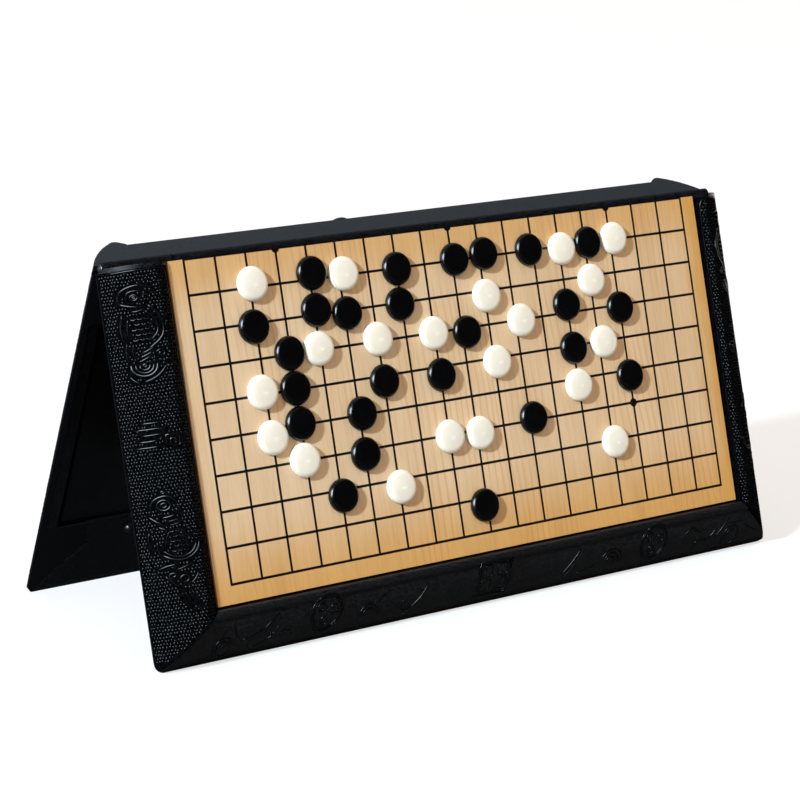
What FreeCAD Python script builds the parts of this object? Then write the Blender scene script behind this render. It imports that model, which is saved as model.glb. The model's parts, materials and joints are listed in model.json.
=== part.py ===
import FreeCAD
import Part
import os
from math import cos, radians, sin, sqrt
from FreeCAD import Rotation, Vector

# A folding magnetic go board. Two identical case halves meet at a pinned hinge under the seam of
# the playing surface. Each half holds half of the 19 x 19 board on a steel sheet, and a drawer for
# stones that slides out of one short end. The case stands like a tent, with the board outside.
#
# Each half is drawn lying flat: x runs along the hinge, y is the distance from the hinge axis, and
# z is the height over the parting plane, which holds the hinge axis. Millimetres throughout.

# ---- the whole case ----
TENT_ANGLE = 37.26         # between the two parting planes as the case stands
STANDING_FLAT = 0.6        # depth of the flat cut on the edge it stands on
BASE_Z = 0.25              # underside of a half, over the parting plane
HINGE_FACE_Y = 0.2         # outside of the hinge wall

# ---- playing surface ----
BOARD_TOP_Z = 17.0
PANEL_THICKNESS = 1.3
STEEL_THICKNESS = 0.5
DECK_THICKNESS = 1.8
COLUMN_PITCH = 16.5
ROW_PITCH = 16.41
COLUMNS = 19
ROWS_PER_HALF = 9
SIDE_MARGIN = 8.54         # outermost column to the panel's edge
OUTER_MARGIN = 8.84        # outermost row to the panel's edge
SEAM_ROW_Y = 0.9           # the middle row runs on the panel's hinge edge
LIP_THICKNESS = 0.6        # thin lip between panel and seam
GROOVE = 1.2               # open groove round the panel's other three edges

# ---- rails round the board ----
END_RAIL = 26.56           # width of the two textured rails at the short ends
OUTER_RAIL = 24.37         # width of the long smooth rail
RIM = 3.3                  # width of a rail's wall where it meets the parting plane
RIM_STEP = 0.6             # upright part of the outer edge
SKIN = 2.2                 # wall of a rail
END_CREST_Z = 20.35        # crest of the two end rails
END_CREST_BACK = 5.26      # that crest's place, from the board side of the rail
END_CREST_RUN = 4.6        # width of the rounded crest
END_SHOULDER_DROP = 0.55   # fall from the crest to its outer shoulder
END_FAR_DROP = 0.75        # fall from the crest to its board side
END_BELLY = (0.39, 0.60)   # fullest point of the slope, as shares of the crest's place
CREST_ROOF = 3.4           # plastic left under the crest
OUTER_BEAD_Z = 19.6        # crest of the bead on the long outer rail
OUTER_BEAD_RUN = 4.9       # width of that bead
OUTER_PILLOW_Z = 17.4      # where the long rail's slope meets the bead
OUTER_BELLY = (0.40, 0.66) # fullest point of that slope
RAIL_INNER_WALL = 2.4      # wall between a rail's hollow and the groove
RAIL_INNER_Z = 17.6        # top of a rail beside the groove
CORNER_RADIUS = 5.0
INNER_CORNER_RADIUS = 3.0

# ---- walls inside a half ----
WALL = 1.8
HINGE_WALL = 2.0
RIB = 1.5
BAYS = 6                   # spaces between ribs along the case
BASE_PLATE = 1.8
LEDGE = 3.0                # how far a base plate reaches under the drawer
HINGE_BOX = 27.4           # hinge axis to the drawer's tunnel
OUTER_BOX = 34.4           # tunnel to the outer edge
BEAD_PLATE_GAP = 0.2       # hinge corner to the base plate beside it

# ---- drawer ----
DRAWER_SIDE_GAP = 0.5
DRAWER_LIFT = 0.45         # drawer floor over the ledges
BAR_LIFT = 0.15            # pull bar over the parting-plane side of the case
DRAWER_TOP_GAP = 0.5
DRAWER_END_GAP = 1.0
DRAWER_WALL = 1.6
PULL_BAR = 5.7             # width of the bar that a nail pulls on
PULL_SLOT = 3.4            # groove behind that bar
PULL_SLOT_DEPTH = 5.0
FACE_GAP = 0.3             # round the drawer's end rail
SCREWS_PER_DRAWER = 3
SCREW_RADIUS = 1.25
SCREW_HEAD_RADIUS = 2.1
SCREW_HEAD_HEIGHT = 1.5
SCREW_DEPTH = 5.5
BOSS_WIDTH = 9.0
SCREW_BRIDGE_GAP = 0.6     # between a screw and the top of the groove

# ---- hinge ----
KNUCKLE_RADIUS = 3.0
KNUCKLE_CLEARANCE = 0.35
KNUCKLE_END_GAP = 0.3
HINGE_BEAD_RADIUS = 5.2    # thickened corner that carries the knuckles
END_KNUCKLE = 22.0
SHORT_KNUCKLE = 14.0
HINGE_END_INSET = 3.8      # last knuckle to the end of the case
PIN_RADIUS = 1.25
PIN_CLEARANCE = 0.07
PIN_HEAD_RADIUS = 2.2
PIN_HEAD_THICKNESS = 1.4
PIN_HEAD_ROUND = 0.84
PIN_HEAD_CLEARANCE = 0.3
PIN_END = 0.5              # how far the pin's plain end stands out

# ---- closing studs ----
STUD_FROM_END = 24.2       # in from the end of the deck
STUD_FROM_TUNNEL = 4.8
STUD_RADIUS = 3.0
STUD_HEIGHT = 2.9          # reach past the parting plane
STUD_STEM_RADIUS = 1.5
STUD_STEM = 2.4
SOCKET_CLEARANCE = 0.5

# ---- stones ----
STONE_RADIUS = 8.1
STONE_HEIGHT = 3.8
STONE_EDGE_Z = 3.0         # height of the stone's upright side, before it is rounded
STONE_SHOULDER_RADIUS = 2.4
STONE_FOOT_ROUND = 0.7
MAGNET_RADIUS = 4.0
MAGNET_HEIGHT = 2.0
STONE_AIR = 0.02           # between a stone and the panel

# Stones on the front half: column 0 to 18 from the left, row 0 to 9 from the seam, and how far the
# stone lies off that point to the right and away from the seam.
BLACK_STONES = [
    (4, 1, 0.6, -2.9), (4, 2, 0.2, -2.1), (5, 2, 0.7, 1.4), (7, 1, -0.7, 0.3), (7, 2, -1.7, 0.7),
    (2, 2, -1.8, 1.5), (3, 3, -1.2, -0.6), (3, 4, -0.8, -0.7), (3, 5, -0.9, -0.8), (6, 4, -0.4, 2.5),
    (5, 5, 0.8, -0.7), (5, 6, -0.5, 1.9), (4, 7, 0.2, 2.6), (9, 1, 0.6, -0.4), (10, 1, 1.9, -1.4),
    (12, 1, -3.3, -0.4), (14, 1, 0.9, 0.0), (9, 3, 2.0, 2.0), (8, 4, -0.2, 3.8), (13, 3, -1.3, -4.0),
    (13, 4, -0.7, 1.1), (15, 3, -0.8, 1.2), (15, 5, -0.7, 2.6), (11, 6, 1.4, -1.3), (9, 8, -2.4, 3.1),
]
WHITE_STONES = [
    (2, 1, 0.7, -1.6), (5, 1, 1.8, -0.7), (4, 3, -1.4, -0.8), (6, 3, -0.7, -1.1), (2, 4, -2.3, -1.3),
    (2, 5, -0.4, 3.5), (3, 6, -1.4, -0.3), (6, 7, 0.3, 3.5), (8, 3, -1.2, 0.1), (10, 2, 0.1, 2.4),
    (11, 3, 2.5, 0.2), (10, 4, 0.9, 1.8), (13, 1, 0.6, 1.2), (15, 1, 1.2, -0.5), (14, 2, -0.1, 2.1),
    (14, 4, 2.3, 0.4), (13, 5, -0.9, 3.1), (14, 7, 0.4, 1.0), (8, 6, -0.4, 0.6), (9, 6, 1.1, 1.4),
]
# One black stone on the back half sits just past the seam.
SEAM_STONE_COLUMN = 7
SEAM_STONE_OFFSET = -5.0
SEAM_STONE_Y = 8.4

# ---- worked out from the sizes above ----
PANEL_X = (COLUMNS - 1) / 2 * COLUMN_PITCH + SIDE_MARGIN
PANEL_Y1 = SEAM_ROW_Y + ROWS_PER_HALF * ROW_PITCH + OUTER_MARGIN
STEEL_Z = BOARD_TOP_Z - PANEL_THICKNESS - STEEL_THICKNESS
DECK_Z = STEEL_Z - DECK_THICKNESS
INNER_X = PANEL_X + GROOVE
INNER_Y = PANEL_Y1 + GROOVE
END_CREST_IN = END_RAIL - END_CREST_BACK
HALF_LENGTH = INNER_X + END_RAIL
HALF_DEPTH = INNER_Y + OUTER_RAIL
TUNNEL_Y0 = HINGE_BOX
TUNNEL_Y1 = HALF_DEPTH - OUTER_BOX
STUD_X = INNER_X - STUD_FROM_END
STUD_Y = TUNNEL_Y1 + STUD_FROM_TUNNEL
PLATE_TOP_Z = BASE_Z + BASE_PLATE
HINGE_FACE_Y1 = HINGE_FACE_Y + HINGE_WALL
POCKET_RADIUS = KNUCKLE_RADIUS + KNUCKLE_CLEARANCE
LEAN = radians(TENT_ANGLE / 2)
HINGE_HEIGHT = HALF_DEPTH * cos(LEAN) - BASE_Z * sin(LEAN) - STANDING_FLAT
DRAWER_X0 = -HALF_LENGTH + RIM + FACE_GAP + PULL_BAR + PULL_SLOT
DRAWER_X1 = INNER_X - WALL - DRAWER_END_GAP
DRAWER_Y0 = TUNNEL_Y0 + DRAWER_SIDE_GAP
DRAWER_Y1 = TUNNEL_Y1 - DRAWER_SIDE_GAP
DRAWER_Z0 = PLATE_TOP_Z + DRAWER_LIFT
DRAWER_Z1 = DECK_Z - DRAWER_TOP_GAP
HINGE_END = HALF_LENGTH - HINGE_END_INSET
BIG = 4 * HALF_LENGTH
PAST = 1.0                 # how far a cut runs past the face it opens
NEAR = 0.01                # two places closer than this are the same


# ---- plain shapes ----
def block(x0, x1, y0, y1, z0, z1):
    return Part.makeBox(x1 - x0, y1 - y0, z1 - z0, Vector(x0, y0, z0))


def rod(radius, x0, x1, y=0.0, z=0.0):
    return Part.makeCylinder(radius, x1 - x0, Vector(x0, y, z), Vector(1, 0, 0))


def post(radius, x, y, z0, z1):
    return Part.makeCylinder(radius, z1 - z0, Vector(x, y, z0), Vector(0, 0, 1))


def solid_between(edges, sweep):
    return Part.Face(Part.Wire(Part.__sortEdges__(edges))).extrude(sweep)


def plan_prism(points, z0=-BIG / 2, z1=BIG / 2):
    """Upright prism over a polygon drawn in x and y."""
    corners = [Vector(x, y, z0) for x, y in points]
    return Part.Face(Part.makePolygon(corners + corners[:1])).extrude(Vector(0, 0, z1 - z0))


def one_solid(shape):
    """The cleaned result of a union or cut, which is a single piece."""
    return shape.removeSplitter().Solids[0]


def circle_through(a, b, c):
    """Centre and radius of the circle through three points of a section."""
    d = 2 * (a[0] * (b[1] - c[1]) + b[0] * (c[1] - a[1]) + c[0] * (a[1] - b[1]))
    sa, sb, sc = (p[0] ** 2 + p[1] ** 2 for p in (a, b, c))
    u = (sa * (b[1] - c[1]) + sb * (c[1] - a[1]) + sc * (a[1] - b[1])) / d
    w = (sa * (c[0] - b[0]) + sb * (a[0] - c[0]) + sc * (b[0] - a[0])) / d
    return u, w, sqrt((a[0] - u) ** 2 + (a[1] - w) ** 2)


# ---- rail sections ----
# A section is drawn with "inward" measured from the outer edge and z upward. A rail swells from
# its outer edge like a pillow, and ends in a rounded crest or bead beside the groove.
def end_points():
    foot = (0.0, BASE_Z + RIM_STEP)
    belly = (END_BELLY[0] * END_CREST_IN, END_BELLY[1] * END_CREST_Z)
    shoulder = (END_CREST_IN - END_CREST_RUN / 2, END_CREST_Z - END_SHOULDER_DROP)
    crest = (END_CREST_IN, END_CREST_Z)
    far_side = (END_CREST_IN + END_CREST_RUN / 2, END_CREST_Z - END_FAR_DROP)
    return foot, belly, shoulder, crest, far_side


def outer_points():
    bead_start = OUTER_RAIL - OUTER_BEAD_RUN
    foot = (0.0, BASE_Z + RIM_STEP)
    belly = (OUTER_BELLY[0] * bead_start, OUTER_BELLY[1] * OUTER_PILLOW_Z)
    valley = (bead_start, OUTER_PILLOW_Z)
    crest = (bead_start + OUTER_BEAD_RUN / 2, OUTER_BEAD_Z)
    far_side = (OUTER_RAIL, RAIL_INNER_Z)
    return foot, belly, valley, crest, far_side


def section_edges(points, run, to_space):
    """Edges of a rail's outside, with to_space turning (inward, z) into a point."""
    foot, belly, turn, crest, far_side = (to_space(*p) for p in points)
    heel = to_space(0.0, BASE_Z)
    inner_top = to_space(run, RAIL_INNER_Z)
    inner_foot = to_space(run, BASE_Z)
    edges = [
        Part.LineSegment(heel, foot).toShape(),
        Part.Arc(foot, belly, turn).toShape(),
        Part.Arc(turn, crest, far_side).toShape(),
        Part.LineSegment(inner_top, inner_foot).toShape(),
        Part.LineSegment(inner_foot, heel).toShape(),
    ]
    if far_side.distanceToPoint(inner_top) > NEAR:
        edges.append(Part.LineSegment(far_side, inner_top).toShape())
    return edges


def hollow_edges(points, run, top_z, to_space):
    """Edges of the hollow under a rail: RIM wide at its foot and SKIN under the slope."""
    u, w, radius = circle_through(*points[:3])
    inside = radius - SKIN
    start_z = w + sqrt(inside ** 2 - (RIM - u) ** 2)
    end_in = u - sqrt(inside ** 2 - (top_z - w) ** 2)
    middle_z = (start_z + top_z) / 2
    middle_in = u - sqrt(inside ** 2 - (middle_z - w) ** 2)
    wall_in = run - RAIL_INNER_WALL
    outline = [(end_in, top_z), (wall_in, top_z), (wall_in, DECK_Z),
               (run + PAST, DECK_Z), (run + PAST, BASE_Z - PAST), (RIM, BASE_Z - PAST), (RIM, start_z)]
    spots = [to_space(*p) for p in outline]
    edges = [Part.LineSegment(a, b).toShape() for a, b in zip(spots, spots[1:])]
    edges.append(Part.Arc(spots[-1], to_space(middle_in, middle_z), spots[0]).toShape())
    return edges


def end_space(side):
    """Section plane of an end rail: side -1 is the drawer end, +1 the closed end."""
    return lambda inward, z: Vector(side * (HALF_LENGTH - inward), 0, z)


def outer_space(inward, z):
    return Vector(-HALF_LENGTH, HALF_DEPTH - inward, z)


def end_rail_bar(side):
    edges = section_edges(end_points(), END_RAIL, end_space(side))
    return solid_between(edges, Vector(0, HALF_DEPTH, 0))


def end_rail_hollow(side):
    edges = hollow_edges(end_points(), END_RAIL, END_CREST_Z - CREST_ROOF, end_space(side))
    return solid_between(edges, Vector(0, HALF_DEPTH, 0))


def outer_rail_bar():
    edges = section_edges(outer_points(), OUTER_RAIL, outer_space)
    return solid_between(edges, Vector(2 * HALF_LENGTH, 0, 0))


def outer_rail_hollow():
    edges = hollow_edges(outer_points(), OUTER_RAIL, OUTER_PILLOW_Z - SKIN, outer_space)
    return solid_between(edges, Vector(2 * HALF_LENGTH, 0, 0))


# ---- plan outlines ----
def case_outline():
    """Plan of a half, with its two outer corners rounded."""
    plan = plan_prism([(-HALF_LENGTH, -BIG / 4), (HALF_LENGTH, -BIG / 4),
                       (HALF_LENGTH, HALF_DEPTH), (-HALF_LENGTH, HALF_DEPTH)])
    corners = [e for e in plan.Edges
               if e.Length > BIG / 2 and e.CenterOfMass.y > HALF_DEPTH - NEAR]
    return plan.makeFillet(CORNER_RADIUS, corners)


def outer_rail_plan(end_wall):
    """The long rail between its mitres, shortened by a wall at each end."""
    return plan_prism([(-HALF_LENGTH + end_wall, HALF_DEPTH), (HALF_LENGTH - end_wall, HALF_DEPTH),
                       (INNER_X - end_wall, INNER_Y), (INNER_X - end_wall, INNER_Y - PAST),
                       (-INNER_X + end_wall, INNER_Y - PAST), (-INNER_X + end_wall, INNER_Y)])


def end_rail_plan(side, y0, inner_gap, mitre_gap, wall=0.0):
    """An end rail from the hinge wall to its mitre, drawn in by a wall on three sides."""
    outer_x = side * HALF_LENGTH
    inner_x = side * (INNER_X + inner_gap)
    step = mitre_gap + wall
    return plan_prism([(outer_x, y0 + wall), (inner_x, y0 + wall),
                       (inner_x, INNER_Y - step), (outer_x, HALF_DEPTH - step)])


# ---- hinge ----
def knuckle_spans():
    """Spans along x of this half's knuckles, and of the other half's."""
    inner = HINGE_END - END_KNUCKLE
    short = inner - SHORT_KNUCKLE
    own = [(-inner, -short), (0.0, short), (inner, HINGE_END)]
    other = [(-b, -a) for a, b in reversed(own)]
    return own, other


def knuckle_rods(radius):
    """Plain rods along this half's own knuckles."""
    own, other = knuckle_spans()
    ends = [(a + KNUCKLE_END_GAP, b if b == HINGE_END else b - KNUCKLE_END_GAP) for a, b in own]
    return [rod(radius, a, b) for a, b in ends]


def with_hinge_corner(shell, bore_radius):
    """The shell with a thick corner at the hinge, seats for its knuckles and pockets for the others."""
    own, other = knuckle_spans()
    corner = rod(HINGE_BEAD_RADIUS, -INNER_X, INNER_X)
    quarter = block(-INNER_X, INNER_X, HINGE_FACE_Y, BIG, BASE_Z, BIG)
    shell = shell.fuse(corner.common(quarter))
    pockets = [rod(POCKET_RADIUS, a - 2 * HINGE_END_INSET if a == -HINGE_END else a, b) for a, b in other]
    head_room = rod(PIN_HEAD_RADIUS + PIN_HEAD_CLEARANCE, HINGE_END, HALF_LENGTH + PAST)
    bore = rod(bore_radius, -HALF_LENGTH, HALF_LENGTH)
    return shell.cut(pockets + knuckle_rods(KNUCKLE_RADIUS) + [head_room, bore])


def hinge_ears():
    """Thin ends of the hinge wall that show the rails' section."""
    wall = block(-BIG, BIG, HINGE_FACE_Y, HINGE_FACE_Y1, BASE_Z, BIG)
    return [end_rail_bar(side).common(wall) for side in (-1, 1)]


# ---- parts of a half, lying flat ----
def around_ribs(hollow):
    """A hollow with the ribs left standing in it."""
    bay = 2 * (INNER_X - WALL) / BAYS
    ribs = []
    for rib in range(1, BAYS):
        x = -INNER_X + WALL + rib * bay - RIB / 2
        ribs.append(block(x, x + RIB, 0, HALF_DEPTH, PLATE_TOP_Z, BIG))
    return hollow.cut(ribs)


def shell(bore_radius):
    """Deck, hinge wall and drawer tunnel in one moulding."""
    body = block(-INNER_X, INNER_X, HINGE_FACE_Y, INNER_Y, PLATE_TOP_Z, STEEL_Z)
    hinge_wall = block(-INNER_X, INNER_X, HINGE_FACE_Y, HINGE_FACE_Y1, BASE_Z, STEEL_Z)
    lip = block(-INNER_X, INNER_X, HINGE_FACE_Y, HINGE_FACE_Y + LIP_THICKNESS, STEEL_Z, BOARD_TOP_Z)
    body = body.fuse([hinge_wall, lip] + hinge_ears())
    tunnel = block(-INNER_X - PAST, INNER_X - WALL, TUNNEL_Y0, TUNNEL_Y1, BASE_Z, DECK_Z)
    hinge_box = block(-INNER_X + WALL, INNER_X - WALL, HINGE_FACE_Y1, TUNNEL_Y0 - WALL, BASE_Z, DECK_Z)
    outer_box = block(-INNER_X + WALL, INNER_X - WALL, TUNNEL_Y1 + WALL, INNER_Y + PAST, BASE_Z, DECK_Z)
    body = body.cut([tunnel, around_ribs(hinge_box), around_ribs(outer_box)])
    return one_solid(with_hinge_corner(body, bore_radius))


def knuckles(bore_radius):
    """The three hinge knuckles of a half."""
    bore = rod(bore_radius, -HALF_LENGTH, HALF_LENGTH)
    return Part.makeCompound([one_solid(knuckle.cut(bore)) for knuckle in knuckle_rods(KNUCKLE_RADIUS)])


def outer_rail():
    """Long smooth rail along the outer edge, mitred at both ends and hollow underneath."""
    rail = outer_rail_bar().common(outer_rail_plan(0.0)).common(case_outline())
    return one_solid(rail.cut(around_ribs(outer_rail_hollow().common(outer_rail_plan(SKIN)))))


def hinge_base():
    """Plate that closes the hollow beside the hinge and carries the drawer's edge."""
    y0 = HINGE_BEAD_RADIUS + BEAD_PLATE_GAP
    return block(-INNER_X, INNER_X, y0, TUNNEL_Y0 + LEDGE, BASE_Z, PLATE_TOP_Z)


def outer_base():
    """Plate under the outer rail, with a stud at one end and a socket at the other."""
    y1 = HALF_DEPTH - RIM
    reach = INNER_X + (y1 - INNER_Y) * END_RAIL / OUTER_RAIL - SKIN
    plate = plan_prism([(-INNER_X, TUNNEL_Y1 - LEDGE), (INNER_X, TUNNEL_Y1 - LEDGE),
                        (INNER_X, INNER_Y), (reach, y1), (-reach, y1), (-INNER_X, INNER_Y)],
                       BASE_Z, PLATE_TOP_Z)
    plate = plate.cut(outer_mitre_walls())
    plate = plate.cut(post(STUD_STEM_RADIUS, -STUD_X, STUD_Y, -BIG, BIG))
    return one_solid(plate.cut(post(STUD_RADIUS + SOCKET_CLEARANCE, STUD_X, STUD_Y, -BIG, BIG)))


def outer_mitre_walls():
    """Upright walls that close the long rail's two mitred ends."""
    return outer_rail_plan(0.0).cut(outer_rail_plan(SKIN))


def steel_sheet():
    return block(-PANEL_X, PANEL_X, SEAM_ROW_Y, PANEL_Y1, STEEL_Z, STEEL_Z + STEEL_THICKNESS)


def board_panel():
    return block(-PANEL_X, PANEL_X, SEAM_ROW_Y, PANEL_Y1, STEEL_Z + STEEL_THICKNESS, BOARD_TOP_Z)


def closing_stud():
    """Domed stud that the other half's socket takes, and a foot when the board lies open."""
    rise = STUD_HEIGHT + BASE_Z
    ball = (STUD_RADIUS ** 2 + rise ** 2) / (2 * rise)
    dome = Part.makeSphere(ball, Vector(-STUD_X, STUD_Y, ball - STUD_HEIGHT))
    dome = dome.common(block(-BIG, BIG, 0, BIG, -BIG, BASE_Z))
    return one_solid(dome.fuse(post(STUD_STEM_RADIUS, -STUD_X, STUD_Y, BASE_Z, BASE_Z + STUD_STEM)))


def clear_of_hinge(shape):
    return shape.cut(rod(POCKET_RADIUS, -BIG, BIG))


def rounded_plan(prism, x, y):
    """The prism with the upright edge nearest to (x, y) rounded."""
    edge = min((e for e in prism.Edges if e.Length > BIG / 2),
               key=lambda e: e.CenterOfMass.sub(Vector(x, y, e.CenterOfMass.z)).Length)
    return prism.makeFillet(INNER_CORNER_RADIUS, [edge])


def end_cap():
    """Fixed end rail that closes the far end of a half."""
    plan = end_rail_plan(1, HINGE_FACE_Y1, 0.0, 0.0)
    cap = end_rail_bar(1).common(plan).common(case_outline())
    room = block(INNER_X - PAST, HALF_LENGTH, 0, HALF_DEPTH, PLATE_TOP_Z, BIG)
    hollow = end_rail_hollow(1).common(end_rail_plan(1, HINGE_FACE_Y1, -PAST, 0.0, SKIN)).common(room)
    return one_solid(clear_of_hinge(cap.cut(hollow)))


def screw_places():
    step = (DRAWER_Y1 - DRAWER_Y0) / SCREWS_PER_DRAWER
    z = BASE_Z + PULL_SLOT_DEPTH + DRAWER_WALL + SCREW_RADIUS + SCREW_BRIDGE_GAP
    return [(DRAWER_Y0 + (i + 0.5) * step, z) for i in range(SCREWS_PER_DRAWER)]


def drawer_face():
    """End rail that closes the drawer's end and slides out with it."""
    y0 = HINGE_FACE_Y1 + FACE_GAP
    plan = rounded_plan(end_rail_plan(-1, y0, FACE_GAP, FACE_GAP), -INNER_X, y0)
    face = end_rail_bar(-1).common(plan).common(case_outline())
    hollow = end_rail_hollow(-1).common(end_rail_plan(-1, y0, -PAST, FACE_GAP, SKIN))
    face = face.cut(hollow)
    inner_x = -INNER_X - FACE_GAP
    pads = plan.common(case_outline()).common(
        block(-HALF_LENGTH + RIM, inner_x, 0, HALF_DEPTH, BASE_Z, PLATE_TOP_Z))
    opening = block(-HALF_LENGTH, inner_x, TUNNEL_Y0 + LEDGE, TUNNEL_Y1 - LEDGE, BASE_Z, PLATE_TOP_Z)
    face = face.fuse(pads.cut(opening))
    for y, z in screw_places():
        boss = block(-HALF_LENGTH + RIM, DRAWER_X0, y - BOSS_WIDTH / 2, y + BOSS_WIDTH / 2,
                     z - SCREW_RADIUS - SCREW_BRIDGE_GAP / 2, END_CREST_Z - SKIN)
        face = face.fuse(boss.common(end_rail_bar(-1)))
        face = face.cut(rod(SCREW_RADIUS, DRAWER_X0 - SCREW_DEPTH + DRAWER_WALL, DRAWER_X0, y, z))
    return one_solid(clear_of_hinge(face))


def drawer_pan():
    """Tray for loose stones, with a bar and a groove under its front for pulling it out."""
    floor = block(DRAWER_X0, DRAWER_X1, DRAWER_Y0, DRAWER_Y1, DRAWER_Z0, DRAWER_Z1)
    room = block(DRAWER_X0 + DRAWER_WALL, DRAWER_X1 - DRAWER_WALL, DRAWER_Y0 + DRAWER_WALL,
                 DRAWER_Y1 - DRAWER_WALL, DRAWER_Z0 + DRAWER_WALL, BIG)
    pan = floor.cut(room)
    slot_top = BASE_Z + PULL_SLOT_DEPTH
    bar_y0 = TUNNEL_Y0 + LEDGE + FACE_GAP
    bar_y1 = TUNNEL_Y1 - LEDGE - FACE_GAP
    slot_x = DRAWER_X0 - PULL_SLOT
    bar = block(slot_x - PULL_BAR, slot_x, bar_y0, bar_y1, BASE_Z + BAR_LIFT, slot_top + DRAWER_WALL)
    bar = bar.common(end_rail_hollow(-1))
    bridge = block(slot_x, DRAWER_X0, bar_y0, bar_y1, slot_top, slot_top + DRAWER_WALL)
    pan = pan.fuse([bar, bridge])
    for y, z in screw_places():
        pan = pan.cut(rod(SCREW_RADIUS, DRAWER_X0 - PAST, DRAWER_X0 + DRAWER_WALL + PAST, y, z))
    return one_solid(pan)


def drawer_screws():
    screws = []
    head_x = DRAWER_X0 + DRAWER_WALL
    for y, z in screw_places():
        shank = rod(SCREW_RADIUS, head_x - SCREW_DEPTH, head_x, y, z)
        head = rod(SCREW_HEAD_RADIUS, head_x, head_x + SCREW_HEAD_HEIGHT, y, z)
        screws.append(one_solid(shank.fuse(head)))
    return Part.makeCompound(screws)


def hinge_pin():
    pin = rod(PIN_RADIUS, -HINGE_END, HINGE_END + PIN_END)
    head = rod(PIN_HEAD_RADIUS, -HINGE_END - PIN_HEAD_THICKNESS, -HINGE_END)
    rim = [e for e in head.Edges if abs(e.CenterOfMass.x + HINGE_END + PIN_HEAD_THICKNESS) < NEAR]
    return one_solid(pin.fuse(head.makeFillet(PIN_HEAD_ROUND, rim)))


# ---- stones ----
def stone():
    """Flat-bottomed stone, a low dome with round shoulders, and a pocket for its magnet."""
    dome_rise = STONE_HEIGHT - STONE_EDGE_Z
    ball = (STONE_RADIUS ** 2 + dome_rise ** 2) / (2 * dome_rise)
    body = Part.makeSphere(ball, Vector(0, 0, STONE_HEIGHT - ball)).common(
        post(STONE_RADIUS, 0, 0, 0, 2 * STONE_HEIGHT))
    shoulder = [e for e in body.Edges if abs(e.CenterOfMass.z - STONE_EDGE_Z) < NEAR]
    body = body.makeFillet(STONE_SHOULDER_RADIUS, shoulder)
    foot = [e for e in body.Edges if abs(e.CenterOfMass.z) < NEAR and e.Length > 6 * STONE_FOOT_ROUND]
    body = body.makeFillet(STONE_FOOT_ROUND, foot)
    return one_solid(body.cut(post(MAGNET_RADIUS, 0, 0, -PAST, MAGNET_HEIGHT)))


def magnet():
    return post(MAGNET_RADIUS, 0, 0, 0, MAGNET_HEIGHT)


def at_place(shape, x, y):
    moved = shape.copy()
    moved.translate(Vector(x, y, BOARD_TOP_Z + STONE_AIR))
    return moved


def column_x(column):
    return (column - (COLUMNS - 1) / 2) * COLUMN_PITCH


def stones_on_front(shape, places):
    return Part.makeCompound([
        at_place(shape, column_x(column) + right, -(SEAM_ROW_Y + row * ROW_PITCH + down))
        for column, row, right, down in places])


def stone_on_back(shape):
    return at_place(shape, column_x(SEAM_STONE_COLUMN) + SEAM_STONE_OFFSET, SEAM_STONE_Y)


# ---- standing the case up ----
def stand(shape, side):
    """Turn what lies flat on the front (-1) or back (+1) half into the tent, and trim its foot."""
    shape = shape.copy()
    shape.rotate(Vector(0, 0, 0), Vector(1, 0, 0), -side * (90 - TENT_ANGLE / 2))
    shape.translate(Vector(0, 0, HINGE_HEIGHT))
    if shape.BoundBox.ZMin < 0:
        shape = shape.cut(block(-BIG, BIG, -BIG, BIG, -BIG, 0))
    return shape


def front_half(shape):
    """The half drawn above, turned round to face the other way."""
    shape = shape.copy()
    shape.rotate(Vector(0, 0, 0), Vector(0, 0, 1), 180)
    return stand(shape, -1)


def back_half(shape):
    return stand(shape, 1)


HALF_PARTS = {
    "outer_rail": outer_rail,
    "hinge_base": hinge_base,
    "outer_base": outer_base,
    "steel_sheet": steel_sheet,
    "board": board_panel,
    "end_cap": end_cap,
    "stud": closing_stud,
    "drawer_pan": drawer_pan,
    "drawer_face": drawer_face,
    "drawer_screws": drawer_screws,
}

nodes = {
    "front_shell": front_half(shell(PIN_RADIUS)),
    "back_shell": back_half(shell(PIN_RADIUS + PIN_CLEARANCE)),
    "front_knuckles": front_half(knuckles(PIN_RADIUS)),
    "back_knuckles": back_half(knuckles(PIN_RADIUS + PIN_CLEARANCE)),
    "hinge_pin": stand(hinge_pin(), -1),
    "black_stones": stand(stones_on_front(stone(), BLACK_STONES), -1),
    "black_stone_magnets": stand(stones_on_front(magnet(), BLACK_STONES), -1),
    "white_stones": stand(stones_on_front(stone(), WHITE_STONES), -1),
    "white_stone_magnets": stand(stones_on_front(magnet(), WHITE_STONES), -1),
    "seam_stone": stand(stone_on_back(stone()), 1),
    "seam_stone_magnet": stand(stone_on_back(magnet()), 1),
}
for name, make in HALF_PARTS.items():
    part = make()
    nodes["front_" + name] = front_half(part)
    nodes["back_" + name] = back_half(part)

os.makedirs("parts", exist_ok=True)
for name, shape in nodes.items():
    shape.exportStep("parts/" + name + ".step")
    box = shape.BoundBox
    print("%-22s %3d solids %10.1f mm3  z %7.2f to %7.2f" %
          (name, len(shape.Solids), shape.Volume, box.ZMin, box.ZMax))
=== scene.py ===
# %% [markdown]
# # A folding go board that stands like a tent
#
# The real object is two shallow plastic trays joined by a pinned hinge. Each tray carries half of a
# printed board, framed by three rails, and a drawer for the stones. Here the exact solids come from
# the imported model, so this lesson is about what makes them look real: black moulded plastic with a
# pebbled grain and embossed scrolls, a printed wood surface ruled with a grid, and glossy stones.

# %% Load the frame and measure it
import json
from bisect import bisect
from math import cos, degrees, radians, sin, tau
from random import Random

import bmesh
import bpy
from mathutils import Matrix, Vector
from mathutils.bvhtree import BVHTree
from mathutils.kdtree import KDTree


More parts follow.
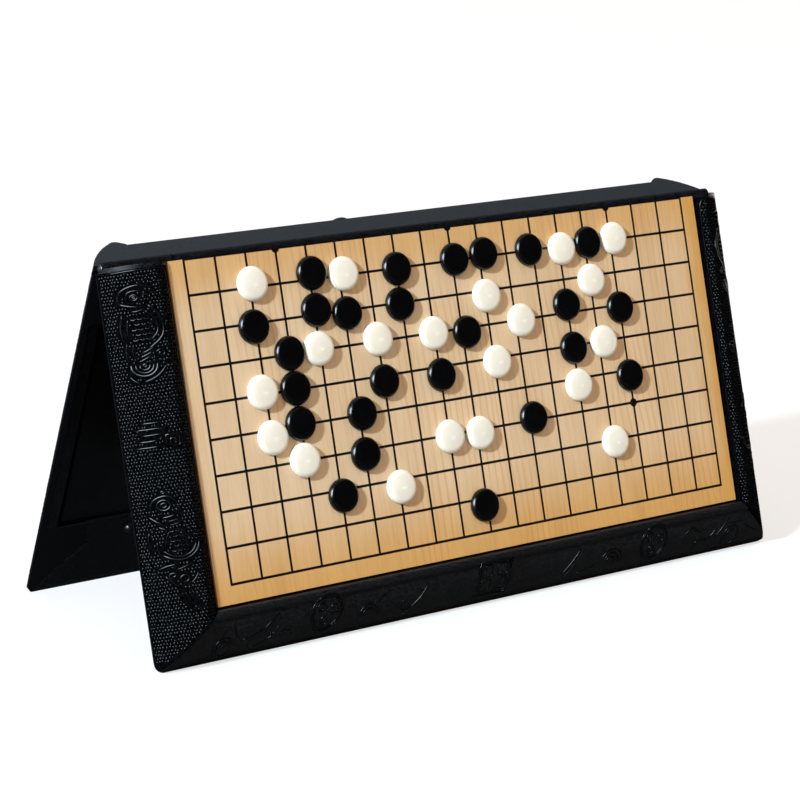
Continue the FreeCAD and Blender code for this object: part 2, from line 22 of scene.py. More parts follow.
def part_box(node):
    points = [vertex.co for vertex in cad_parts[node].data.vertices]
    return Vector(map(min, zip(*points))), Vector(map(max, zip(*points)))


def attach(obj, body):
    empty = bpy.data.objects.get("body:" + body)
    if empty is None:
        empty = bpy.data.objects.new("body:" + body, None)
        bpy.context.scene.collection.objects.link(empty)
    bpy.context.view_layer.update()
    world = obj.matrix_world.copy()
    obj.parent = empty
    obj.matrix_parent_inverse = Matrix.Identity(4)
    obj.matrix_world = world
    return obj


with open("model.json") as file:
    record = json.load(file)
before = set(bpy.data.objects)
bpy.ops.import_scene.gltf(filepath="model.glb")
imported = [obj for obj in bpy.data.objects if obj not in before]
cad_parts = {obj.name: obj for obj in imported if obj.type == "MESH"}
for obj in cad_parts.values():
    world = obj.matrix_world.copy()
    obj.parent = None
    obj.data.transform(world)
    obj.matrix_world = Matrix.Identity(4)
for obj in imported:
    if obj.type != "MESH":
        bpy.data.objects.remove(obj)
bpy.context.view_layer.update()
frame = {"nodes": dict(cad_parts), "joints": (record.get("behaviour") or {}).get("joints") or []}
bpy.context.scene.view_settings.view_transform = "Standard"
MM = 0.001

hinge = next(joint for joint in frame["joints"] if joint["name"] == "case_hinge")
HINGE_HEIGHT = hinge["pos_m"][2]
LEAN = radians(-hinge["range_deg"][0]) / 2
HALF_LENGTH = -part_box("front_end_cap")[0][0]
print("hinge axis %.4f m over the table, halves lean %.2f degrees" % (HINGE_HEIGHT, degrees(LEAN)))


# %% [markdown]
# ## One drawing plane for both halves
#
# Both halves are the same moulding, so every print and ornament is drawn once on a flat half: x along
# the hinge, v away from the hinge, w up from the parting plane. One matrix lays that drawing on the
# back half. The front half is the same drawing turned round by 180 degrees. Objects could be moved
# and turned instead, but a matrix lets each finished mesh keep its object at the origin.

# %% From a flat half to the standing case
def standing(side):
    """Matrix from the flat drawing, in metres, to the front or back half of the tent."""
    s, c = sin(LEAN), cos(LEAN)
    turn = 1 if side == "back" else -1
    along = Vector((turn, 0, 0))
    away = Vector((0, turn * s, -c))
    up = Vector((0, turn * c, s))
    columns = Matrix((along, away, up)).transposed().to_4x4()
    return Matrix.Translation((0, 0, HINGE_HEIGHT)) @ columns


def flat_coordinates(tree, side):
    """Nodes that give the flat drawing's coordinates, in metres, from Object coordinates."""
    lay_flat = standing(side).inverted()
    where = tree.nodes.new("ShaderNodeTexCoord")
    mapping = tree.nodes.new("ShaderNodeMapping")
    mapping.inputs["Location"].default_value = lay_flat.translation
    mapping.inputs["Rotation"].default_value = lay_flat.to_euler()
    tree.links.new(where.outputs["Object"], mapping.inputs["Vector"])
    return mapping.outputs["Vector"]


sample = standing("front") @ Vector((0, 0.1, 0))
print("0.1 m from the hinge on the front half is y %.4f, z %.4f" % (sample.y, sample.z))


# %% [markdown]
# ## Camera
#
# A long lens from the left and a little above. A camera looks along its own -Z with +Y up. A tracking
# constraint would aim it but would also level it, so its matrix is built from three directions: right,
# up and backwards. That keeps the small roll exact.

# %% Place the camera
CAMERA_PLACE = Vector((-0.8194, -1.0719, 0.4886))
CAMERA_AZIMUTH = radians(37.03)
CAMERA_ELEVATION = radians(16.62)
CAMERA_ROLL = 0.0475
LENS = 128.83
FAR_CLIP = 20

forward = Vector((sin(CAMERA_AZIMUTH) * cos(CAMERA_ELEVATION),
                  cos(CAMERA_AZIMUTH) * cos(CAMERA_ELEVATION), -sin(CAMERA_ELEVATION)))
level = Vector((cos(CAMERA_AZIMUTH), -sin(CAMERA_AZIMUTH), 0))
over = level.cross(forward)
right = level * cos(CAMERA_ROLL) + over * sin(CAMERA_ROLL)
upward = over * cos(CAMERA_ROLL) - level * sin(CAMERA_ROLL)

camera_data = bpy.data.cameras.new("camera")
camera_data.lens = LENS
camera_data.clip_end = FAR_CLIP
camera = bpy.data.objects.new("camera", camera_data)
axes = Matrix((right, upward, -forward)).transposed().to_4x4()
camera.matrix_world = Matrix.Translation(CAMERA_PLACE) @ axes
bpy.context.collection.objects.link(camera)
bpy.context.scene.camera = camera
print("camera %.2f m from the case, %.0f mm lens" % (CAMERA_PLACE.length, LENS))


# %% [markdown]
# ## Shader helpers
#
# A node graph is easier to read when each node is one short call. These helpers add a maths node, a
# colour mix or a bump and wire its inputs, whether an input is a number or another node's output.

# %% Number and colour makers
def wire(tree, value, socket):
    if isinstance(value, bpy.types.NodeSocket):
        tree.links.new(value, socket)
    else:
        socket.default_value = value


def maths(tree, operation, *values):
    node = tree.nodes.new("ShaderNodeMath")
    node.operation = operation
    for value, socket in zip(values, node.inputs):
        wire(tree, value, socket)
    return node.outputs[0]


def ramp(tree, value, low, high, to_low=0.0, to_high=1.0):
    """A smooth step: to_low where the value is low, to_high where it is high."""
    node = tree.nodes.new("ShaderNodeMapRange")
    node.interpolation_type = "SMOOTHSTEP"
    for name, number in (("Value", value), ("From Min", low), ("From Max", high),
                         ("To Min", to_low), ("To Max", to_high)):
        wire(tree, number, node.inputs[name])
    return node.outputs["Result"]


def switched(tree, switch, off, on):
    """One number where the switch is 0, another where it is 1."""
    return maths(tree, "MULTIPLY_ADD", switch, maths(tree, "SUBTRACT", on, off), off)


def colour_mix(tree, factor, a, b, blend="MIX"):
    node = tree.nodes.new("ShaderNodeMix")
    node.data_type = "RGBA"
    node.blend_type = blend
    wire(tree, factor, node.inputs["Factor"])
    wire(tree, a, node.inputs[6])
    wire(tree, b, node.inputs[7])
    return node.outputs[2]


print("makers of numbers and colours: maths, ramp, switched, colour_mix")


# %% Pattern and relief makers
def object_place(tree):
    """A point's own place on the piece, which moves and turns with it."""
    return tree.nodes.new("ShaderNodeTexCoord").outputs["Object"]


def parts_of(tree, vector):
    """The X, Y and Z of a vector."""
    node = tree.nodes.new("ShaderNodeSeparateXYZ")
    tree.links.new(vector, node.inputs[0])
    return node.outputs["X"], node.outputs["Y"], node.outputs["Z"]


def stretched(tree, vector, scale):
    node = tree.nodes.new("ShaderNodeVectorMath")
    node.operation = "MULTIPLY"
    tree.links.new(vector, node.inputs[0])
    node.inputs[1].default_value = scale
    return node.outputs[0]


def noise(tree, vector, scale, detail=3.0, rough=0.5):
    node = tree.nodes.new("ShaderNodeTexNoise")
    tree.links.new(vector, node.inputs["Vector"])
    node.inputs["Scale"].default_value = scale
    node.inputs["Detail"].default_value = detail
    node.inputs["Roughness"].default_value = rough
    return node.outputs["Fac"]


def bump(tree, shader, height, distance):
    node = tree.nodes.new("ShaderNodeBump")
    node.inputs["Distance"].default_value = distance
    node.inputs["Strength"].default_value = 1.0
    tree.links.new(height, node.inputs["Height"])
    tree.links.new(node.outputs["Normal"], shader.inputs["Normal"])


print("makers of patterns and relief: stretched, noise, bump")


# %% Material and group makers
def new_material(name):
    material = bpy.data.materials.new(name)
    material.use_nodes = True
    shader = material.node_tree.nodes["Principled BSDF"]
    return material, material.node_tree, shader


def group_of(name, inputs, outputs):
    """An empty shader group: inputs are (name, kind, default), outputs are (name, kind)."""
    group = bpy.data.node_groups.new(name, "ShaderNodeTree")
    for label, kind, default in inputs:
        socket = group.interface.new_socket(label, in_out="INPUT", socket_type=kind)
        if default is not None:
            socket.default_value = default
    for label, kind in outputs:
        group.interface.new_socket(label, in_out="OUTPUT", socket_type=kind)
    come = group.nodes.new("NodeGroupInput").outputs
    go = group.nodes.new("NodeGroupOutput").inputs
    return group, come, go


def placed(tree, group, vector, **values):
    """A group put into a material, with this material's own values."""
    node = tree.nodes.new("ShaderNodeGroup")
    node.node_tree = group
    tree.links.new(vector, node.inputs["Vector"])
    for name, value in values.items():
        wire(tree, value, node.inputs[name])
    return node.outputs


print("makers of materials and groups: new_material, group_of, placed")


# %% [markdown]
# ## Light, backdrop and table
#
# Black plastic shows its shape only by what it reflects. For gloss, the room is bright behind and
# above the case, has a soft bluish window at the left, and is dark on the near side, so the hinge wall
# shines while the rails stay black. For matt surfaces the room is even and warm. Big lamps could do
# the same, but their own outlines would show in the gloss. One small cool lamp in the window's
# direction gives the stones their shadows. Gloss doesn't see that lamp, because its reflection would
# burn out. The backdrop's white comes from the world and the table's own glow, never from more light.

# %% World
ROOM_LIGHT = 0.73
WARM_ROOM = (1.0, 0.82, 0.66, 1)
COOL_ROOM = (0.76, 0.89, 1.0, 1)
WHITE = (1, 1, 1, 1)
UP_AND_BACK = Vector((0, 0.62, 0.785))
ROOM_FADE = (0.5, 1.0)
NEAR_SIDE = 0.02
FAR_SIDE = 0.60
KEY_DIRECTION = Vector((-0.828, -0.233, 0.510))
WINDOW = 22.0
WINDOW_SPREAD = (20, 12)
HALO = 0.3
HALO_SPREAD = (42, 8)

world = bpy.data.worlds.new("studio")
world.use_nodes = True
bpy.context.scene.world = world
tree = world.node_tree
direction = tree.nodes.new("ShaderNodeTexCoord").outputs["Generated"]


def rays_of(tree):
    """Switches from Light Path: rays that show the backdrop as it is, and mirrored rays."""
    path = tree.nodes.new("ShaderNodeLightPath").outputs
    as_it_is = maths(tree, "MAXIMUM", path["Is Camera Ray"], path["Is Transmission Ray"])
    return as_it_is, path["Is Glossy Ray"]


def towards(axis):
    """How nearly a ray runs along an axis: 1 along it, 0 across it."""
    facing = tree.nodes.new("ShaderNodeVectorMath")
    facing.operation = "DOT_PRODUCT"
    facing.inputs[1].default_value = axis.normalized()
    tree.links.new(direction, facing.inputs[0])
    return facing.outputs["Value"]


def window_light(spread, strength):
    """Light that grows from nothing to its strength between two angles, in degrees, off the window."""
    wide, narrow = (cos(radians(angle)) for angle in spread)
    return ramp(tree, towards(KEY_DIRECTION), wide, narrow, 0, strength)


seen, glossy = rays_of(tree)
mirrored = ramp(tree, towards(UP_AND_BACK), *ROOM_FADE, NEAR_SIDE, FAR_SIDE)
mirrored = maths(tree, "ADD", mirrored, window_light(HALO_SPREAD, HALO))
mirrored = maths(tree, "ADD", mirrored, window_light(WINDOW_SPREAD, WINDOW))
strength = switched(tree, seen, switched(tree, glossy, ROOM_LIGHT, mirrored), 1.0)
colour = colour_mix(tree, seen, colour_mix(tree, glossy, WARM_ROOM, COOL_ROOM), WHITE)
background = tree.nodes["Background"]
tree.links.new(strength, background.inputs["Strength"])
tree.links.new(colour, background.inputs["Color"])
print("room light %.2f, mirrored window %.0f" % (ROOM_LIGHT, WINDOW))


# %% Key lamp
BOARD_MIDDLE = Vector((0, -0.045, 0.09))
KEY_DISTANCE = 8
KEY_SIZE = 0.45
KEY_POWER = 1040
KEY_COLOUR = (0.72, 0.87, 1.0)

key_data = bpy.data.lights.new("key", "AREA")
key_data.size = KEY_SIZE
key_data.energy = KEY_POWER
key_data.color = KEY_COLOUR
key = bpy.data.objects.new("key", key_data)
key.location = BOARD_MIDDLE + KEY_DISTANCE * KEY_DIRECTION
key.rotation_euler = (-KEY_DIRECTION).to_track_quat("-Z", "Y").to_euler()
key.visible_glossy = False
key.visible_camera = False
bpy.context.collection.objects.link(key)
print("key lamp at", [round(c, 2) for c in key.location], "m")


# %% Table
TABLE_SIZE = 6
TABLE_PALE = 0.85
TABLE_GLOW = 1.1
TABLE_GLOW_SHARE = 0.6
TABLE_UNDER_MATT = 0.25
TABLE_FADE = (0.1, 0.6)
TABLE_NEAR = 0.04
TABLE_FAR = 0.8

table_mesh = bmesh.new()
bmesh.ops.create_grid(table_mesh, x_segments=1, y_segments=1, size=TABLE_SIZE)
table_data = bpy.data.meshes.new("table")
table_mesh.to_mesh(table_data)
table_mesh.free()
table = bpy.data.objects.new("table", table_data)
bpy.context.collection.objects.link(table)

pale, tree, shader = new_material("pale table")
seen, glossy = rays_of(tree)
_, depth, _ = parts_of(tree, object_place(tree))
in_gloss = ramp(tree, depth, *TABLE_FADE, TABLE_NEAR, TABLE_FAR)
mirrored = switched(tree, glossy, TABLE_UNDER_MATT, in_gloss)
tree.links.new(switched(tree, seen, mirrored, TABLE_PALE), shader.inputs["Base Color"])
shader.inputs["Roughness"].default_value = 0.8
shader.inputs["Specular IOR Level"].default_value = 0.1
glow = tree.nodes.new("ShaderNodeEmission")
glow.inputs["Strength"].default_value = TABLE_GLOW
lift = tree.nodes.new("ShaderNodeMixShader")
tree.links.new(maths(tree, "MULTIPLY", seen, TABLE_GLOW_SHARE), lift.inputs["Fac"])
tree.links.new(shader.outputs["BSDF"], lift.inputs[1])
tree.links.new(glow.outputs["Emission"], lift.inputs[2])
tree.links.new(lift.outputs["Shader"], tree.nodes["Material Output"].inputs["Surface"])
table_data.materials.append(pale)
print("table %d m across, paleness %.2f" % (2 * TABLE_SIZE, TABLE_PALE))


# %% [markdown]
# ## Handling marks
#
# Every moulded piece of the case has been handled: the gloss is uneven, the black is mottled, there
# is fine dust, and the plastic is not perfectly flat. It could be painted on each piece, but a shared
# node group keeps the wear alike everywhere and lets each material choose how much of it shows.

# %% Group: handled plastic
handled, come, go = group_of(
    "handled plastic",
    [("Vector", "NodeSocketVector", None), ("Gloss", "NodeSocketFloat", 0.25),
     ("Uneven", "NodeSocketFloat", 0.08), ("Dust", "NodeSocketFloat", 0.5)],
    [("Roughness", "NodeSocketFloat"), ("Dust", "NodeSocketFloat"), ("Mottle", "NodeSocketFloat"),
     ("Height", "NodeSocketFloat")])
clouds = noise(handled, come["Vector"], scale=38, detail=4.0, rough=0.6)
specks = noise(handled, come["Vector"], scale=1500, detail=1.0)
blotches = noise(handled, come["Vector"], scale=1100, detail=2.0)
waviness = noise(handled, come["Vector"], scale=420, detail=2.0)
off_even = maths(handled, "SUBTRACT", clouds, 0.5)
gloss = maths(handled, "MULTIPLY_ADD", off_even, come["Uneven"], come["Gloss"])
dusty = maths(handled, "MULTIPLY", ramp(handled, specks, 0.70, 0.82), come["Dust"])
handled.links.new(gloss, go["Roughness"])
handled.links.new(dusty, go["Dust"])
handled.links.new(ramp(handled, blotches, 0.34, 0.66), go["Mottle"])
handled.links.new(waviness, go["Height"])
print("handled plastic:", len(handled.nodes), "nodes")


# %% [markdown]
# ## Black plastics
#
# Five finishes come from one recipe: a deep mottled black, an uneven gloss, a little dust, and a
# ripple that keeps reflections from being perfectly straight. Trays and drawers are glossy, the long
# rail is satin, the knuckles are dull, the end rails have a finer grain under their pebbles and no
# mirror gloss, with a painted sheen, a paler black, on the face where the halves meet, and what is
# embossed is polished by hands. Five separate materials would drift apart as they are tuned. The
# pebbles and the ornament are real geometry, so the plastic under them can stay plain.

# %% Recipe: black plastic
BLACK_TINT = (1.0, 1.06, 1.25)
MOTTLE = (0.2, 2.2)
DUST = (0.025, 0.027, 0.032, 1)
# Painted sheen: a paler black on the face where the halves meet, standing in for the gloss that the
# grained finish leaves out.
PAINTED_SHEEN_INSIDE = (0.0080, 0.0086, 0.0102, 1)
PAINTED_SHEEN_BAND = (1.0 * MM, 0.6 * MM)


def black_plastic(name, black, gloss, uneven, dust, ripple, mirror=0.5, side=None):
    """The recipe. With a side, the face on that half's parting plane gets a painted sheen, a paler
    black.
    """
    material, tree, shader = new_material(name)
    marks = placed(tree, handled, object_place(tree), Gloss=gloss, Uneven=uneven, Dust=dust)
    deep, veiled = (tuple(black * share * tint for tint in BLACK_TINT) + (1,) for share in MOTTLE)
    colour = colour_mix(tree, marks["Mottle"], deep, veiled)
    if side:
        # Painted sheen near the parting plane, in place of gloss.
        _, _, height = parts_of(tree, flat_coordinates(tree, side))
        colour = colour_mix(tree, ramp(tree, height, *PAINTED_SHEEN_BAND), colour, PAINTED_SHEEN_INSIDE)
    tree.links.new(colour_mix(tree, marks["Dust"], colour, DUST), shader.inputs["Base Color"])
    tree.links.new(marks["Roughness"], shader.inputs["Roughness"])
    shader.inputs["Specular IOR Level"].default_value = mirror
    bump(tree, shader, marks["Height"], ripple)
    return material


print("mottle runs from %.1f to %.1f times each black" % MOTTLE)


# %% The five blacks
GLOSSY = black_plastic("glossy black moulding", black=0.0038, gloss=0.24, uneven=0.10, dust=0.35,
                       ripple=0.02 * MM)
SATIN = black_plastic("satin black rail", black=0.0058, gloss=0.38, uneven=0.14, dust=1.0,
                      ripple=0.10 * MM)
GRAINED = {side: black_plastic("grained black rail " + side, black=0.0014, gloss=0.50, uneven=0.12,
                               dust=0.2, ripple=0.04 * MM, mirror=0.0, side=side)
           for side in ("front", "back")}
DULL = black_plastic("dull black knuckles", black=0.0040, gloss=0.45, uneven=0.12, dust=0.5,
                     ripple=0.04 * MM, mirror=0.10)
RELIEF = black_plastic("embossed black", black=0.0014, gloss=0.16, uneven=0.08, dust=0.1,
                       ripple=0.01 * MM, mirror=0.42)
for black in (GLOSSY, SATIN, GRAINED["front"], GRAINED["back"], DULL, RELIEF):
    print("%-26s %2d nodes" % (black.name, len(black.node_tree.nodes)))


# %% [markdown]
# ## Printed board
#
# The playing surface is a printed sheet that imitates maple: pale tan with a fine grain that runs
# away from the hinge, and wide arches in patches. Towards the rails, the seam and the drawer's end it
# is painted darker and more orange, a painted shade. The grid is ink on top. It could be thin raised
# strips, but ink has no thickness, so it is drawn in the shader. Each line is the distance to the
# nearest multiple of the pitch, compared with the line's width. The board's nine star points fold
# onto two by symmetry, each a distance compared with a radius. Lines and points stay sharp at any
# zoom.

# %% The grid's sizes
COLUMN_PITCH = 16.5 * MM
ROW_PITCH = 16.41 * MM
SEAM_ROW = 0.9 * MM
LINE_WIDTH = 1.22 * MM
STAR_RADIUS = 2.15 * MM
STAR_STEP = 6
STAR_ROWS = (0, 6)
GRID_X = 9 * COLUMN_PITCH
GRID_V = SEAM_ROW + 9 * ROW_PITCH
INK_EDGE = 0.06 * MM
INK = (0.002, 0.0018, 0.0018, 1)
print("grid on one half: %.1f x %.1f mm" % (2 * GRID_X / MM, (GRID_V - SEAM_ROW) / MM))


# %% Group: ruled grid
def soft_under(tree, value, limit):
    """1 where the value is under a limit, with an edge as soft as ink on paper."""
    return ramp(tree, value, limit + INK_EDGE, limit - INK_EDGE)


def off_multiple(tree, value, pitch):
    """Distance from value to the nearest multiple of pitch."""
    return maths(tree, "ABSOLUTE", maths(tree, "WRAP", value, pitch / 2, -pitch / 2))


ruled, come, go = group_of("ruled grid", [("Vector", "NodeSocketVector", None)],
                           [("Ink", "NodeSocketFloat")])
x, v, _ = parts_of(ruled, come["Vector"])
across = maths(ruled, "ABSOLUTE", x)
rows_down = maths(ruled, "SUBTRACT", v, SEAM_ROW)
columns = soft_under(ruled, off_multiple(ruled, across, COLUMN_PITCH), LINE_WIDTH / 2)
rows = soft_under(ruled, off_multiple(ruled, rows_down, ROW_PITCH), LINE_WIDTH / 2)
inside_x = soft_under(ruled, across, GRID_X + LINE_WIDTH / 2)
inside_v = soft_under(ruled, v, GRID_V + LINE_WIDTH / 2)
inside = maths(ruled, "MULTIPLY", inside_x, inside_v)
inked = maths(ruled, "MULTIPLY", maths(ruled, "MAXIMUM", columns, rows), inside)
star_x = off_multiple(ruled, across, STAR_STEP * COLUMN_PITCH)
for row in STAR_ROWS:
    star_v = maths(ruled, "SUBTRACT", rows_down, row * ROW_PITCH)
    squares = [maths(ruled, "MULTIPLY", gap, gap) for gap in (star_x, star_v)]
    star_gap = maths(ruled, "SQRT", maths(ruled, "ADD", *squares))
    inked = maths(ruled, "MAXIMUM", inked, soft_under(ruled, star_gap, STAR_RADIUS))
ruled.links.new(inked, go["Ink"])
print("ruled grid:", len(ruled.nodes), "nodes")


# %% Group: maple print
MAPLE_PALE = (0.74, 0.54, 0.335, 1)
MAPLE_DEEP = (0.56, 0.365, 0.195, 1)
MAPLE_FIGURE = (0.64, 0.37, 0.17, 1)
FIBRE_STRETCH = (1.0, 0.045, 1.0)
BAND_STRETCH = (1.0, 0.12, 1.0)
ARCH_STRETCH = (1.0, 0.35, 1.0)
PATCH_STRETCH = (1.0, 0.5, 1.0)

maple, come, go = group_of("maple print", [("Vector", "NodeSocketVector", None)],
                           [("Color", "NodeSocketColor")])
fibres = noise(maple, stretched(maple, come["Vector"], FIBRE_STRETCH), scale=900, rough=0.6)
bands = noise(maple, stretched(maple, come["Vector"], BAND_STRETCH), scale=62, rough=0.55)
tone = maths(maple, "ADD", ramp(maple, fibres, 0.35, 0.75, 0.0, 0.30),
             ramp(maple, bands, 0.30, 0.75, 0.0, 0.32))
wood = colour_mix(maple, tone, MAPLE_PALE, MAPLE_DEEP)

arches = maple.nodes.new("ShaderNodeTexWave")
arches.wave_type = "BANDS"
arches.bands_direction = "X"
arches.inputs["Scale"].default_value = 85
arches.inputs["Distortion"].default_value = 12
arches.inputs["Detail"].default_value = 1.5
arches.inputs["Detail Scale"].default_value = 0.35
maple.links.new(stretched(maple, come["Vector"], ARCH_STRETCH), arches.inputs["Vector"])
patches = noise(maple, stretched(maple, come["Vector"], PATCH_STRETCH), scale=30, detail=1.0)
figure = maths(maple, "MULTIPLY", ramp(maple, arches.outputs["Fac"], 0.70, 1.0, 0.0, 0.60),
               ramp(maple, patches, 0.46, 0.60))
maple.links.new(colour_mix(maple, figure, wood, MAPLE_FIGURE), go["Color"])
print("maple print:", len(maple.nodes), "nodes")


# %% Board finish
# Painted shade: the print is multiplied by this orange, darker towards the rails, the seam and the
# drawer's end.
SHADE_ORANGE = (0.88, 0.62, 0.22, 1)
SHADE_SWAY = 16 * MM
# Where the painted shade starts and where it is full, in millimetres, and how strong it gets.
DRAWER_SIDE = (70, -150, 0.16)
DRAWER_EDGE = (-141, -157, 0.90)
CLOSED_EDGE = (146, 158, 0.25)
OUTER_EDGE = (112, 157, 0.82)
SEAM_EDGE = (30, 3, 0.62)
INK_RELIEF = 0.5


def painted_shade(tree, place, start, full, share):
    return ramp(tree, place, start * MM, full * MM, 0.0, share)


def either(tree, a, b):
    """Two covers laid over each other: 1 - (1 - a)(1 - b)."""
    left_by_a = maths(tree, "SUBTRACT", 1.0, a)
    left_by_b = maths(tree, "SUBTRACT", 1.0, b)
    return maths(tree, "SUBTRACT", 1.0, maths(tree, "MULTIPLY", left_by_a, left_by_b))


def printed_board(name, side):
    material, tree, shader = new_material(name)
    flat = flat_coordinates(tree, side)
    x, v, _ = parts_of(tree, flat)
    drift = maths(tree, "SUBTRACT", noise(tree, flat, scale=28, detail=2.0), 0.5)
    sway = maths(tree, "MULTIPLY", drift, SHADE_SWAY)
    swayed_x = maths(tree, "ADD", x, sway)
    swayed_v = maths(tree, "ADD", v, sway)
    # Painted shade along the four edges and, more faintly, across the board towards the drawer's end.
    shaded = painted_shade(tree, x, *DRAWER_SIDE)
    for place, edge in ((swayed_x, DRAWER_EDGE), (swayed_x, CLOSED_EDGE),
                        (swayed_v, OUTER_EDGE), (swayed_v, SEAM_EDGE)):
        shaded = either(tree, shaded, painted_shade(tree, place, *edge))
    wood = colour_mix(tree, shaded, placed(tree, maple, flat)["Color"], SHADE_ORANGE, "MULTIPLY")
    ink = placed(tree, ruled, flat)["Ink"]
    tree.links.new(colour_mix(tree, ink, wood, INK), shader.inputs["Base Color"])
    sheen = noise(tree, flat, scale=260)
    tree.links.new(ramp(tree, sheen, 0.3, 0.7, 0.40, 0.50), shader.inputs["Roughness"])
    raised = maths(tree, "ADD", maths(tree, "MULTIPLY", ink, INK_RELIEF), sheen)
    bump(tree, shader, raised, 0.02 * MM)
    return material


BOARD = {side: printed_board("maple print " + side, side) for side in ("front", "back")}
print("board finishes:", ", ".join(board.name for board in BOARD.values()))


# %% [markdown]
# ## Stones, magnets and steel
#
# The stones are polished plastic. Black ones need little more than a deep colour and a sharp gloss.
# White ones are a warm ivory with a few faint clouds. A plain white would look like chalk, so light
# goes a little way into them, which softens their shading. The screws and the sheet under the print
# are bright brushed steel, the hinge pin is darker, and the magnets are nickel discs.

# %% Stones
def stone_finish(name, colour, cloud, gloss):
    material, tree, shader = new_material(name)
    where = object_place(tree)
    clouds = ramp(tree, noise(tree, where, scale=130), 0.35, 0.75)
    tree.links.new(colour_mix(tree, clouds, colour, cloud), shader.inputs["Base Color"])
    wiped = ramp(tree, noise(tree, where, scale=420, detail=2.0), 0.3, 0.7, gloss, gloss * 1.35)
    tree.links.new(wiped, shader.inputs["Roughness"])
    bump(tree, shader, noise(tree, where, scale=900, detail=2.0), 0.004 * MM)
    return material


BLACK_STONE = stone_finish("black stone", colour=(0.0010, 0.0010, 0.0012, 1),
                           cloud=(0.0015, 0.0016, 0.0019, 1), gloss=0.18)
WHITE_STONE = stone_finish("white stone", colour=(0.835, 0.785, 0.675, 1),
                           cloud=(0.80, 0.75, 0.63, 1), gloss=0.55)
soft = WHITE_STONE.node_tree.nodes["Principled BSDF"]
soft.inputs["Specular IOR Level"].default_value = 0.16
soft.inputs["Subsurface Weight"].default_value = 0.7
soft.inputs["Subsurface Radius"].default_value = (1.0, 0.9, 0.7)
soft.inputs["Subsurface Scale"].default_value = 2.2 * MM
print("stone finishes:", BLACK_STONE.name, "and", WHITE_STONE.name)


# %% Steel
STROKE_STRETCH = (0.03, 1.0, 1.0)
STROKE_SHADE = 0.86


def brushed_steel(name, colour, gloss):
    material, tree, shader = new_material(name)
    strokes = noise(tree, stretched(tree, object_place(tree), STROKE_STRETCH), scale=1800, detail=2.0)
    shade = tuple(STROKE_SHADE * c for c in colour[:3]) + (1,)
    shader.inputs["Metallic"].default_value = 1.0
    tree.links.new(colour_mix(tree, strokes, colour, shade), shader.inputs["Base Color"])
    tree.links.new(ramp(tree, strokes, 0.3, 0.7, gloss, gloss + 0.12), shader.inputs["Roughness"])
    return material


STEEL = brushed_steel("bright steel", colour=(0.62, 0.62, 0.63, 1), gloss=0.22)
NICKEL = brushed_steel("nickel disc", colour=(0.66, 0.65, 0.62, 1), gloss=0.16)
DARK_STEEL = brushed_steel("burnished pin", colour=(0.11, 0.11, 0.12, 1), gloss=0.34)
print("metals:", ", ".join(metal.name for metal in (STEEL, NICKEL, DARK_STEEL)))


# %% [markdown]
# ## Dressing the exact solids
#
# Shells, rails, drawers, stones and fittings all keep their exact shape. Each could be rebuilt as a
# Blender piece, but the solids are already right, so they only get a finish in their material slots.

# %% Dress the exact solids
dressed = []


def dress(node, material):
    for slot in frame["nodes"][node].material_slots:
        slot.material = material
    dressed.append(node)


for side in ("front", "back"):
    for piece in ("shell", "hinge_base", "outer_base", "drawer_pan", "stud"):
        dress(side + "_" + piece, GLOSSY)
    for piece in ("drawer_face", "end_cap"):
        dress(side + "_" + piece, GRAINED[side])
    for piece in ("steel_sheet", "drawer_screws"):
        dress(side + "_" + piece, STEEL)
    dress(side + "_knuckles", DULL)
    dress(side + "_outer_rail", SATIN)
    dress(side + "_board", BOARD[side])
for stones, finish in (("black_stones", BLACK_STONE), ("seam_stone", BLACK_STONE),
                       ("white_stones", WHITE_STONE)):
    dress(stones, finish)
for magnets in ("black_stone_magnets", "white_stone_magnets", "seam_stone_magnet"):
    dress(magnets, NICKEL)
dress("hinge_pin", DARK_STEEL)
print("%d of %d solids dressed" % (len(set(dressed)), len(frame["nodes"])))


# %% [markdown]
# ## Laying a drawing on a rail
#
# The rails carry embossed ornament on a curved section. A bump could fake it, but its strokes stand
# up against the light and must show from the side. Each stroke is a curve with a round section that
# thins out at its ends. Drawn flat, the curves become a mesh, and then every point of the mesh is
# dropped onto the rail by a ray: it lands where the ray meets the plastic, and its own height is
# measured along the surface's normal. The same drawing then fits any rail, whatever its section.

# %% Strokes, rings and arcs
def stroke(width, *points):
    """A tapered stroke through control points, in millimetres."""
    return {"width": width, "points": points}


def round_points(x, y, radius, angles):
    return [(x + radius * cos(angle), y + radius * sin(angle)) for angle in angles]


def ring(x, y, radius, width, count=10):
    angles = [tau * i / count for i in range(count)]
    return {"width": width, "points": round_points(x, y, radius, angles), "closed": True}


def arc(x, y, radius, start, end, width, count=9):
    """Part of a ring, from one angle to another in degrees."""
    angles = [radians(start + (end - start) * i / (count - 1)) for i in range(count)]
    return stroke(width, *round_points(x, y, radius, angles))


print("a ring has %d control points" % len(ring(0, 0, 5, 1)["points"]))


# %% Scrolls, frets and scales
SCROLL_WINDS_TO = 0.86


def scroll(x, y, radius, turns, start, width):
    """A volute that winds in from its rim to its middle."""
    count = int(12 * turns) + 1
    points = []
    for i in range(count):
        share = i / (count - 1)
        angle = radians(start) + tau * turns * share
        reach = radius * (1 - SCROLL_WINDS_TO * share)
        points.append((x + reach * cos(angle), y + reach * sin(angle)))
    return stroke(width, *points)


def fret(x, y, size, width, turns=2, gap=1.7):
    """A square spiral, as on a carved border, from its outer corner inwards."""
    points = [(x, y + size)]
    low, high = 0.0, size
    for _ in range(turns):
        points += [(x + low, y + low), (x + high, y + low)]
        points += [(x + high, y + high), (x + low + gap, y + high)]
        low, high = low + gap, high - gap
        points.append((x + low, y + low + gap / 2))
    return {"width": width, "points": points, "sharp": True}


